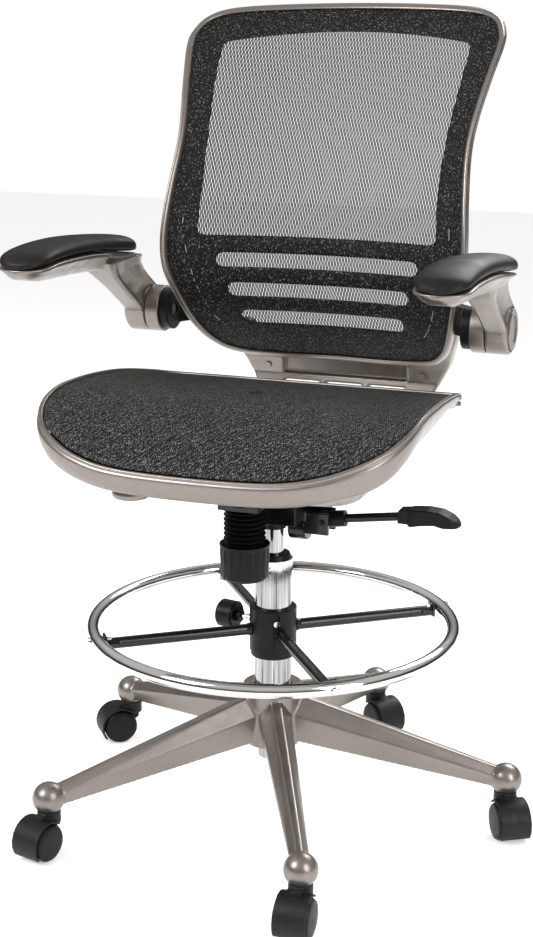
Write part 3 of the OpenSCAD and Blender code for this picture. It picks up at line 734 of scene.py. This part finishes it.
def border_top():
    """The cloth above the window's arch, and the rows of the side strip beside it."""
    window = OPENINGS[-1]
    corner_x = window.edge(window.top)
    rings = []
    side_rows = []
    for z in spread(window.top, MESH_HIGH, ROW_H_ABOVE):
        share = (z - window.top) / (MESH_HIGH - window.top)
        end = min(corner_x, mesh_edge(z) - LEAST_SIDE)
        ring = []
        for j in range(MIDDLE_COLUMNS + 1):
            out = j / MIDDLE_COLUMNS
            arch = window.top + ARCH_RISE * (1 - out**2)
            ring.append(back_point(end * out, mix(arch, MESH_HIGH, share), -BORDER_AHEAD))
        rings.append(ring)
        side_rows.append((z, end, mesh_edge(z)))
    return loft(rings, ring_closed=False, caps=False), side_rows


def back_border():
    """The doubled cloth round the window, and the bars between the slots.

    The right half is a bar of cloth below each opening, the cloth above the window, and one
    strip beside them all, which shares its rows with them.
    """
    skins = []
    side_rows = []
    below = MESH_LOW
    end_below = OPENINGS[0].edge(OPENINGS[0].bottom)
    for opening in OPENINGS:
        bar = []
        for z in spread(below, opening.bottom, ROW_H):
            share = (z - below) / (opening.bottom - below)
            bar.append((z, mix(end_below, opening.edge(opening.bottom), share)))
        skins.append(strip([(z, 0, end) for z, end in bar], MIDDLE_COLUMNS, -BORDER_AHEAD))
        side_rows += [(z, end, mesh_edge(z)) for z, end in bar[:-1]]
        beside = spread(opening.bottom, opening.top, ROW_H_BESIDE)[:-1]
        side_rows += [(z, opening.edge(z), mesh_edge(z)) for z in beside]
        below = opening.top
        end_below = opening.edge(opening.top)
    top, top_rows = border_top()
    skins.append(top)
    skins.append(strip(side_rows + top_rows, SIDE_COLUMNS, -BORDER_AHEAD))
    right = joined(*skins)
    piece = new_piece("back_mesh_border", *joined(right, mirrored(right)))
    weld(piece)
    thicken(piece, BORDER_T)
    finish_piece(piece, "seat", DENSE, ["back_mesh"])


SEAM_LINE = [(191, 800), (191, 779), (182, 738), (173, 700), (160, 662), (146, 640)]
SEAM_AHEAD = BORDER_AHEAD + 0.4
THREAD_HALF_W = 0.7
THREAD_HALF_T = 0.6
THREAD_SIDES = 8


def back_seam():
    """The stitched line that runs down beside the slots."""
    path = [Vector(back_point(x, z, -SEAM_AHEAD)) for x, z in open_curve(SEAM_LINE, 8)]
    rings = []
    for i, centre in enumerate(path):
        course = (path[min(i + 1, len(path) - 1)] - path[max(i - 1, 0)]).normalized()
        side = course.cross(Vector((0, 1, 0))).normalized() * THREAD_HALF_W
        ring = []
        for k in range(THREAD_SIDES):
            a = math.tau * k / THREAD_SIDES
            ring.append(tuple(centre + side * math.cos(a) + Vector((0, THREAD_HALF_T * math.sin(a), 0))))
        rings.append(ring)
    right = loft(rings)
    piece = outward(new_piece("back_mesh_seam", *joined(right, mirrored(right))))
    finish_piece(piece, "seat", THREAD)


# ---- Pan under the seat ----

PAN_FLOOR = 488.8
PAN_MIDDLE_Y = -52
PAN_WALL = 3
PAN_INSET = RIM_W * 1.7
# The wall starts this share of the way down the rim, and slopes in by this power of its share.
WALL_START = 0.94
WALL_POWER = 1.15
# The inner face is the outer one drawn in to this share.
INNER_SHARE = 0.985
# The floor is a rounded rectangle: its two half sizes, and the power that rounds its corners.
FOOT_HALF_X = 150
FOOT_HALF_Y = 98
FOOT_POWER = 5
# How far down the wall its rings are, and how far out the rings that close the floor are.
WALL_SHARES = [0, 0.03, 0.1, 0.2, 0.35, 0.5, 0.65, 0.78, 0.88, 0.95, 0.985, 1]
FLOOR_SHARES = [0.6, 0.05]
BOSS_AT = (-122, -186, 0)
BOSS_R = 24
BOSS_TOP = 500
# How far in and how far up the chamfer of its lower edge reaches.
BOSS_CHAMFER = (2, 2.2)


def pan_foot(x, y):
    """The point of the pan's floor edge in the direction of (x, y) from its middle."""
    length = math.hypot(x, y - PAN_MIDDLE_Y)
    c, s = x / length, (y - PAN_MIDDLE_Y) / length
    crossing = (abs(c) / FOOT_HALF_X) ** FOOT_POWER + (abs(s) / FOOT_HALF_Y) ** FOOT_POWER
    reach = crossing ** (-1 / FOOT_POWER)
    return c * reach, PAN_MIDDLE_Y + s * reach


def pan_ring(edge, share, floor):
    """A ring of the pan's wall, from inside the rim at share 0 to the floor at share 1."""
    out = 1 - share**WALL_POWER
    ring = []
    for x, y in edge:
        foot_x, foot_y = pan_foot(x, y)
        top = rim_top(y) - WALL_START * rim_depth(y)
        ring.append((mix(foot_x, x, out), mix(foot_y, y, out), mix(top, floor, share)))
    return ring


def drawn_in(ring, share):
    """A ring scaled about the pan's middle, at its own height."""
    return [(x * share, mix(PAN_MIDDLE_Y, y, share), z) for x, y, z in ring]


def pan_face(floor, shrink):
    """The rings of one face of the pan, down its wall and in over its floor."""
    edge = seat_outline(PAN_INSET, 5)
    rings = [drawn_in(pan_ring(edge, share, floor), shrink) for share in WALL_SHARES]
    return rings + [drawn_in(rings[-1], share) for share in FLOOR_SHARES]


def pan_boss():
    """The round boss under the pan's right front corner."""
    in_by, up_by = BOSS_CHAMFER
    profile = [
        (AXIS_R, BOSS_TOP), (BOSS_R, BOSS_TOP), (BOSS_R, PAN_FLOOR + up_by),
        (BOSS_R - in_by, PAN_FLOOR), (AXIS_R, PAN_FLOOR),
    ]
    return moved(lathe(profile, 48), Matrix.Translation(BOSS_AT))


def seat_pan():
    rings = pan_face(PAN_FLOOR, 1) + pan_face(PAN_FLOOR + PAN_WALL, INNER_SHARE)[::-1]
    piece = outward(new_piece("seat_pan_shell", *joined(loft(rings, path_closed=True), pan_boss())))
    finish_piece(piece, "seat", SILVER, ["seat_pan"])


# ---- Arms ----

ARM_X = 266
PAD_HALF_W = 36.5
ARM_FRONT = -203
ARM_REAR = 104
# The pivot's (y, z), on an axis along X.
PIVOT = (165, 667)
DRUM_R = 33
# Heights along the arm, as (y, z): where the pad sits on its shell, the pad's crown, and the
# shell's underside.
PAD_SEAT = [(-204, 766), (-150, 772), (-60, 771), (0, 766), (50, 760), (104, 754)]
PAD_TOP = [
    (-203, 777), (-190, 785), (-150, 792), (-90, 794), (-40, 792), (10, 788), (50, 784),
    (90, 778), (104, 773),
]
SHELL_BOTTOM = [(-203, 761), (-189, 753), (-163, 749), (-81, 746), (0, 741), (30, 737), (104, 748)]
# How far the pad's foot is above that seat line, and the shell's lip below it.
PAD_GAP = 0.4
LIP_GAP = 0.2
# The shell is narrower than the pad's half width by this much, in front and behind.
NARROWER_FRONT = 1.0
NARROWER_REAR = 3.5
# Powers that round the arm's ends in plan, and the pad's ends, width and height in section.
PLAN_POWER = 2.3
END_POWER = 3
WIDTH_POWER = 0.8
HEIGHT_POWER = 0.62
END_HEIGHT = 0.45
PAD_TUCK = 0.07
PAD_SIDES = 21


def end_share(y, corner):
    """0 along the middle of the arm, rising to almost 1 at its two ends."""
    to_end = min(y - ARM_FRONT, ARM_REAR - y)
    return min(max(0.0, 1 - to_end / corner), 0.9995)


def rounded(share, power):
    """1 at share 0, falling to 0 at share 1 along a rounded corner."""
    return (1 - share**power) ** (1 / power)


def stations(count):
    """Places along the arm, closer together at the ends."""
    middle = (ARM_FRONT + ARM_REAR) / 2
    half = (ARM_REAR - ARM_FRONT) / 2
    return [middle - half * math.cos(math.pi * i / count) for i in range(count + 1)]


def arm_pad(side, word):
    """A soft pad: flat below, crowned above, a little narrower at its foot, and lower at its ends."""
    rings = []
    for y in stations(44):
        share = end_share(y, PAD_HALF_W)
        w = PAD_HALF_W * rounded(share, PLAN_POWER)
        base = along(PAD_SEAT, y) + PAD_GAP
        crown = along(PAD_TOP, y) - base
        rise = crown * mix(END_HEIGHT, 1, rounded(share, END_POWER))
        ring = []
        for i in range(PAD_SIDES + 1):
            a = math.pi * i / PAD_SIDES
            c, s = math.cos(a), math.sin(a)
            tuck = 1 - PAD_TUCK * (1 - s) ** 3
            x = math.copysign(abs(c) ** WIDTH_POWER, c) * w * tuck
            ring.append((side * ARM_X + x, y, base + rise * s**HEIGHT_POWER))
        rings.append(ring)
    piece = outward(new_piece(f"arm_pad_{word}_moulded", *loft(rings)))
    finish_piece(subdivide(piece), f"{word}_arm", PAD, [f"arm_pad_{word}"])


# Half of the shell's section, as (share of its half width, share of its depth down).
SHELL_HALF = [
    (0.38, 1), (0.5, 0.9), (0.66, 0.7), (0.84, 0.42), (0.93, 0.3), (1, 0.2), (1, 0.06), (0.9, 0),
]


def arm_shell():
    """The trough under the pad: nearly as wide as the pad above and narrow below, with a lip."""
    section = [(-x, down) for x, down in reversed(SHELL_HALF)] + SHELL_HALF
    rings = []
    for y in stations(36):
        share = end_share(y, PAD_HALF_W - 1)
        narrower = NARROWER_FRONT if y < 0 else NARROWER_REAR
        w = (PAD_HALF_W - narrower) * rounded(share, PLAN_POWER)
        top = along(PAD_SEAT, y) - LIP_GAP
        deep = top - along(SHELL_BOTTOM, y)
        rings.append([(ARM_X + x * w, y, top - down * deep) for x, down in section])
    return loft(rings)


# The strut from the shell down to the drum, as its front and rear edges (y, z) and how far
# its two faces stand out beyond their places at the drum: it flares where it meets the shell.
STRUT_EDGES = [
    ((2, 750), (106, 752), 14), ((14, 740), (113, 746), 9), ((32, 728), (122, 739), 4),
    ((60, 711), (138, 727), 1), ((84, 696), (152, 718), 0), ((108, 681), (168, 708), 0),
    ((130, 667), (184, 698), 0), ((150, 655), (199, 690), 0),
]
STRUT_IN = 245.5
STRUT_OUT = 276.5
# A face of the strut, as (share of the way from its front edge to its rear, how deep it is dished).
STRUT_FACE = [
    (0.0, 5), (0.05, 1), (0.13, 0), (0.25, 1.6), (0.4, 3), (0.55, 3.3), (0.7, 2.4), (0.86, 0),
    (0.95, 1), (1.0, 5),
]


def arm_strut():
    """The strut, with both faces dished along the middle."""
    rings = []
    for front, rear, flare in STRUT_EDGES:
        outer, inner = [], []
        for share, deep in STRUT_FACE:
            y, z = mix(front[0], rear[0], share), mix(front[1], rear[1], share)
            outer.append((STRUT_OUT + flare - deep, y, z))
            inner.append((STRUT_IN - flare + deep, y, z))
        rings.append(outer + inner[::-1])
    return loft(rings)


# The drum and its shaft, as (radius, x) about the pivot.
DRUM = [
    (AXIS_R, 246), (30, 246), (32.2, 247), (DRUM_R, 249), (DRUM_R, 273), (32.2, 276.4), (29.5, 277.6),
    (27.6, 277), (27, 275), (AXIS_R, 275),
]
SHAFT = [(AXIS_R, 214), (8.4, 214), (9, 215), (9, 247), (AXIS_R, 247)]


def about_pivot(profile):
    """A profile of (radius, x) turned about the arm's pivot."""
    turn = Matrix.Translation((0, *PIVOT)) @ Matrix.Rotation(math.pi / 2, 4, "Y")
    return moved(lathe(profile, 72), turn)


def arm(side, word):
    """The arm's casting: shell, strut, drum and shaft under one skin."""
    skin = joined(arm_shell(), arm_strut(), about_pivot(DRUM), about_pivot(SHAFT))
    if side < 0:
        skin = mirrored(skin)
    piece = outward(new_piece(f"arm_{word}_cast", *skin))
    cast(piece, 1.1, 3)
    finish_piece(piece, f"{word}_arm", SILVER, [f"arm_{word}"])


# ---- Finishes of the pieces that keep the CAD's shape ----


# Points closer than this are one, in millimetres, and edges sharper than this get a bevel.
WELD_GAP = 0.01
EDGE_ANGLE = math.radians(38)


def dress(node, material, bevel=0.0, voxel=0.0, passes=0):
    """Give a CAD node its material, and either bevelled edges or one cast skin with fillets."""
    dress_piece(NODES[node], material, bevel, voxel, passes)


def dress_piece(piece, material, bevel=0.0, voxel=0.0, passes=0):
    """The same for any piece; bevel and voxel are in millimetres."""
    piece.data.materials.clear()
    piece.data.materials.append(material)
    if voxel:
        cast(piece, voxel, passes)
        return
    join = piece.modifiers.new("join", "WELD")
    join.merge_threshold = WELD_GAP * MM
    if bevel:
        edge = piece.modifiers.new("edge", "BEVEL")
        edge.width = bevel * MM
        edge.segments = 2
        edge.limit_method = "ANGLE"
        edge.angle_limit = EDGE_ANGLE
        edge.use_clamp_overlap = True
        edge.miter_outer = "MITER_ARC"
    for polygon in piece.data.polygons:
        polygon.use_smooth = True
    weighted = piece.modifiers.new("shading", "WEIGHTED_NORMAL")
    weighted.keep_sharp = False


def dress_all():
    dress("star_base", SILVER, voxel=1.5, passes=5)
    dress("back_support", SILVER, voxel=1.5, passes=5)
    for node in ("arm_spacers", "pivot_cap_left", "pivot_cap_right"):
        dress(node, SILVER, bevel=1.0)
    for node in ("rim_rivets", "support_screws"):
        dress(node, SILVER, bevel=0.3)
    for node in ("outer_tube", "gas_cylinder"):
        dress(node, PAINTED_STREAK_CHROME, bevel=0.5)
    for node in ("tube_stop_ring", "spoke_bolts", "collar_screw", "clamp_screw"):
        dress(node, CHROME, bevel=0.4)
    dress("foot_ring", CHROME)
    for node in ("thrust_bearing", "piston_rod", "rod_clip", "valve_pin", "tension_bolt",
                 "spring_washer", "pivot_pin"):
        dress(node, STEEL, bevel=0.3)
    for node in ("mechanism_housing", "ring_spokes"):
        dress(node, ENAMEL, voxel=1.0, passes=3)
    for node in ("seat_plate", "lever_rod"):
        dress(node, ENAMEL, bevel=0.6)
    for node in ("arm_bracket_left", "arm_bracket_right"):
        dress(node, PLASTIC, voxel=1.2, passes=5)
    for node in ("guide_bushing", "dust_ring", "ring_collar", "lever_socket"):
        dress(node, PLASTIC, bevel=0.8)
    for node in ("clamp_knob", "tension_knob"):
        dress(node, PLASTIC, bevel=1.0)
    dress("lever_paddle", PLASTIC, voxel=0.9, passes=8)
    for k in range(1, 6):
        dress(f"caster_{k}_hood", GRAINED, voxel=0.9, passes=8)
        dress(f"caster_{k}_pins", STEEL, bevel=0.4)
        dress(f"caster_{k}_wheels", PLASTIC, bevel=0.8)


def squashed_copy(node, material):
    """A copy of a node with a mesh of its own, dressed and riding on the mechanism in the node's place.
    """
    piece = bpy.data.objects.new(f"{node}_soft", NODES[node].data.copy())
    bpy.context.scene.collection.objects.link(piece)
    piece.matrix_world = NODES[node].matrix_world
    dress_piece(piece, material, bevel=0.5)
    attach(piece, "mechanism")
    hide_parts(node)
    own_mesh(piece)


# ---- Camera and stage ----

# In metres, like everything about the camera and the lights.
CAMERA_AT = Vector((0.7245, -1.9906, 1.0502))
CAMERA_AIM = Vector((-0.0124, 0.0048, 0.4882))
CAMERA_ROLL = math.radians(0.23)
LENS = 63.39


def add_camera():
    """The camera: in front of the chair and to the sitter's left, near the height of the back's top."""
    data = bpy.data.cameras.new("camera")
    camera = bpy.data.objects.new("camera", data)
    bpy.context.scene.collection.objects.link(camera)
    look = (CAMERA_AIM - CAMERA_AT).to_track_quat("-Z", "Y").to_matrix().to_4x4()
    camera.matrix_world = Matrix.Translation(CAMERA_AT) @ look @ Matrix.Rotation(CAMERA_ROLL, 4, "Z")
    data.sensor_fit = "VERTICAL"
    data.sensor_height = 36
    data.lens = LENS
    data.dof.use_dof = False
    bpy.context.scene.camera = camera


def add_area_light(name, at, aim, size, power):
    data = bpy.data.lights.new(name, "AREA")
    data.shape = "RECTANGLE"
    data.size = size[0]
    data.size_y = size[1]
    data.energy = power
    light = bpy.data.objects.new(name, data)
    bpy.context.scene.collection.objects.link(light)
    light.location = at
    light.rotation_euler = (Vector(aim) - Vector(at)).to_track_quat("-Z", "Y").to_euler()


FLOOR_HALF = 8000


def add_floor():
    """A white floor that glows a little, to stay near the white of the backdrop."""
    corners = [(-1, -1), (1, -1), (1, 1), (-1, 1)]
    floor = new_piece("floor", [(x * FLOOR_HALF, y * FLOOR_HALF, 0) for x, y in corners], [(0, 1, 2, 3)])
    material = bpy.data.materials.new("floor")
    material.use_nodes = True
    shader = material.node_tree.nodes["Principled BSDF"]
    shader.inputs["Base Color"].default_value = (0.9, 0.9, 0.9, 1)
    shader.inputs["Roughness"].default_value = 0.9
    shader.inputs["Emission Color"].default_value = (1, 1, 1, 1)
    shader.inputs["Emission Strength"].default_value = 0.42
    floor.data.materials.append(material)


def add_stage():
    add_floor()
    add_world()
    bpy.context.scene.view_settings.view_transform = "Standard"
    add_area_light("key", (-1.8, -2.2, 2.6), (0, 0, 0.6), (1.4, 1.4), 80)
    add_area_light("fill", (2.4, -1.4, 1.6), (0, 0, 0.5), (1.2, 2.0), 40)
    add_area_light("rim", (0.6, 2.2, 2.2), (0, 0, 0.7), (1.6, 1.0), 45)


def add_world():
    """A white backdrop for the camera; for the rest, a studio that is dark near the horizon."""
    world = bpy.data.worlds.new("studio")
    world.use_nodes = True
    tree = world.node_tree
    studio = tree.nodes["Background"]
    backdrop = tree.nodes.new("ShaderNodeBackground")
    backdrop.inputs["Color"].default_value = (1, 1, 1, 1)
    place = tree.nodes.new("ShaderNodeTexCoord")
    split = tree.nodes.new("ShaderNodeSeparateXYZ")
    ramp = tree.nodes.new("ShaderNodeValToRGB")
    ramp.color_ramp.elements[0].color = (0.03, 0.03, 0.03, 1)
    ramp.color_ramp.elements[0].position = 0.15
    ramp.color_ramp.elements[1].color = (0.6, 0.6, 0.6, 1)
    ramp.color_ramp.elements[1].position = 0.5
    sight = tree.nodes.new("ShaderNodeLightPath")
    blend = tree.nodes.new("ShaderNodeMixShader")
    tree.links.new(place.outputs["Generated"], split.inputs["Vector"])
    tree.links.new(split.outputs["Z"], ramp.inputs["Fac"])
    tree.links.new(ramp.outputs["Color"], studio.inputs["Color"])
    tree.links.new(sight.outputs["Is Camera Ray"], blend.inputs["Fac"])
    tree.links.new(studio.outputs["Background"], blend.inputs[1])
    tree.links.new(backdrop.outputs["Background"], blend.inputs[2])
    tree.links.new(blend.outputs["Shader"], tree.nodes["World Output"].inputs["Surface"])
    bpy.context.scene.world = world


seat_rim()
seat_sheet()
seat_pan()
back_frame()
back_sheer()
back_border()
back_seam()
arm_pad(1, "left")
arm_pad(-1, "right")
arm(1, "left")
arm(-1, "right")
dress_all()
squashed_copy("tension_spring", STEEL)
squashed_copy("tension_boot", BOOT)
add_camera()
add_stage()
